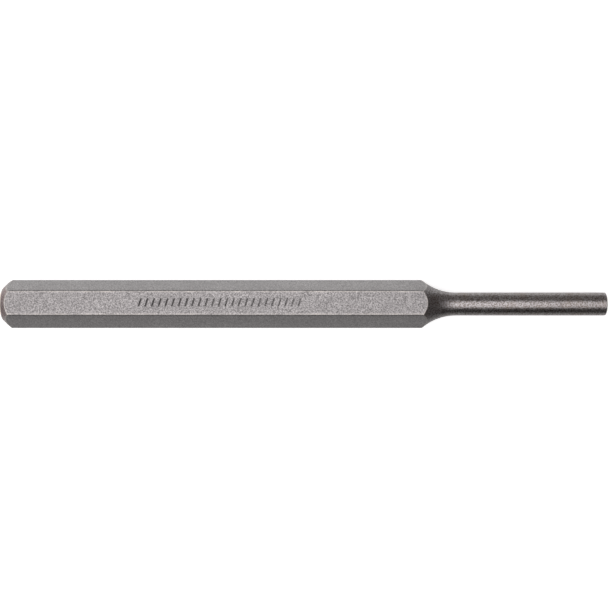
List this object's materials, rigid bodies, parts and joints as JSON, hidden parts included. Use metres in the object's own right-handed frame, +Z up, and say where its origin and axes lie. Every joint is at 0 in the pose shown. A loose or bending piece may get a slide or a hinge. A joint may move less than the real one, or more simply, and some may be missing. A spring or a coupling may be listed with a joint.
{
  "type": "pin punch",
  "caption": "Slim one-piece steel pin punch with a hexagonal shank, bevelled and crowned struck end, concave neck and straight round pin.",
  "frame": {"origin": "under the middle of the punch's length, on the surface that it rests on with one flat down", "axes": "+X along the punch from the struck end to the pin's tip, +Z up out of the flat opposite the resting one, +Y to the left seen from the struck end"},
  "size_m": [0.1612, 0.0128, 0.0111],
  "materials": {
    "punch_steel": "satin grey hardened tool steel: fine bead-blasted flats, darker turned neck and pin"
  },
  "bodies": {
    "root": {"punch_body": "punch_steel"}
  },
  "joints": []
}
